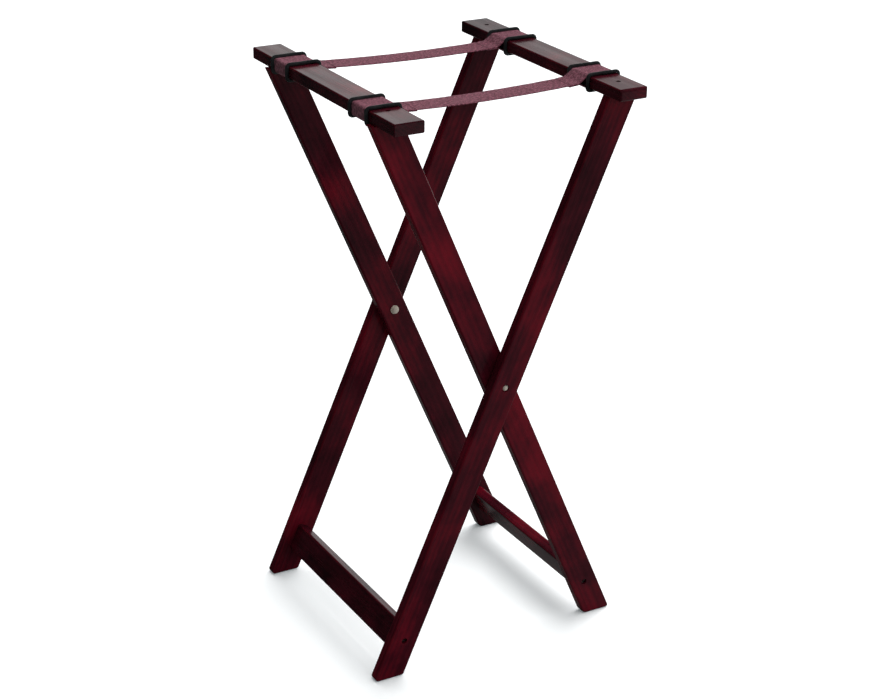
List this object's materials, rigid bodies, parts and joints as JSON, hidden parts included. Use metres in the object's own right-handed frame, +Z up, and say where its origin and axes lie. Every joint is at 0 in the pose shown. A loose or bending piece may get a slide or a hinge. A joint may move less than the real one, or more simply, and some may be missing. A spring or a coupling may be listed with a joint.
{
  "type": "folding tray stand",
  "caption": "Folding wooden tray stand: two crossed leg frames on pivots, two webbing straps that stop them when open, and rubber grip rings on the top rails.",
  "frame": {"origin": "on the floor, straight below the pivots and half way between the front and rear legs", "axes": "+X from the left rail to the right rail, -Y towards the front, +Z up"},
  "size_m": [0.3866, 0.404, 0.7921],
  "materials": {
    "mahogany_stained_wood": "gloss lacquer",
    "burgundy_webbing": "woven",
    "black_rubber": "satin",
    "nickel_hardware": "nickel plated",
    "zinc_screws": "zinc plated"
  },
  "bodies": {
    "outer_frame": {"right_top_rail": "mahogany_stained_wood", "outer_leg_front": "mahogany_stained_wood", "outer_leg_rear": "mahogany_stained_wood", "lower_left_stretcher": "mahogany_stained_wood", "right_rail_screws": "zinc_screws", "left_stretcher_screws": "zinc_screws", "pivot_bolt_front": "nickel_hardware", "pivot_bolt_rear": "nickel_hardware", "pivot_spacer_washer_front": "nickel_hardware", "pivot_spacer_washer_rear": "nickel_hardware", "pivot_inner_washer_front": "nickel_hardware", "pivot_inner_washer_rear": "nickel_hardware", "pivot_cap_nut_front": "nickel_hardware", "pivot_cap_nut_rear": "nickel_hardware", "front_strap_right_loop": "burgundy_webbing", "rear_strap_right_loop": "burgundy_webbing", "right_rail_ring_front_strap_front_edge": "black_rubber", "right_rail_ring_front_strap_rear_edge": "black_rubber", "right_rail_ring_rear_strap_front_edge": "black_rubber", "right_rail_ring_rear_strap_rear_edge": "black_rubber"},
    "inner_frame": {"left_top_rail": "mahogany_stained_wood", "inner_leg_front": "mahogany_stained_wood", "inner_leg_rear": "mahogany_stained_wood", "lower_right_stretcher": "mahogany_stained_wood", "left_rail_screws": "zinc_screws", "right_stretcher_screws": "zinc_screws", "front_strap_left_loop": "burgundy_webbing", "rear_strap_left_loop": "burgundy_webbing", "left_rail_ring_front_strap_front_edge": "black_rubber", "left_rail_ring_front_strap_rear_edge": "black_rubber", "left_rail_ring_rear_strap_front_edge": "black_rubber", "left_rail_ring_rear_strap_rear_edge": "black_rubber"},
    "straps_right": {"front_strap_right_length": "burgundy_webbing", "rear_strap_right_length": "burgundy_webbing"},
    "straps_middle": {"front_strap_middle_length": "burgundy_webbing", "rear_strap_middle_length": "burgundy_webbing"},
    "straps_left": {"front_strap_left_length": "burgundy_webbing", "rear_strap_left_length": "burgundy_webbing"}
  },
  "joints": [
    {"name": "fold", "type": "hinge", "parent": "outer_frame", "child": "inner_frame", "pos_m": [0, 0, 0.39437], "axis": [0, 1, 0], "range_deg": [0, 38]},
    {"name": "strap_right_drop", "type": "hinge", "parent": "outer_frame", "child": "straps_right", "pos_m": [0.1386, 0, 0.7775], "axis": [0, 1, 0], "range_deg": [-87.47, 0], "deforming": ["front_strap_right_length", "rear_strap_right_length"]},
    {"name": "strap_middle_fold", "type": "hinge", "parent": "straps_right", "child": "straps_middle", "pos_m": [0.00205, 0, 0.7775], "axis": [0, 1, 0], "range_deg": [0, 175.07], "deforming": ["front_strap_middle_length", "rear_strap_middle_length"]},
    {"name": "strap_left_drop", "type": "hinge", "parent": "inner_frame", "child": "straps_left", "pos_m": [-0.1386, 0, 0.7775], "axis": [0, 1, 0], "range_deg": [0, 49.62], "deforming": ["front_strap_left_length", "rear_strap_left_length"]}
  ],
  "couplings": [
    {"joint": "strap_right_drop", "follows": "fold", "ratio": -2.3014},
    {"joint": "strap_middle_fold", "follows": "fold", "ratio": 4.6068},
    {"joint": "strap_left_drop", "follows": "fold", "ratio": 1.3054}
  ]
}
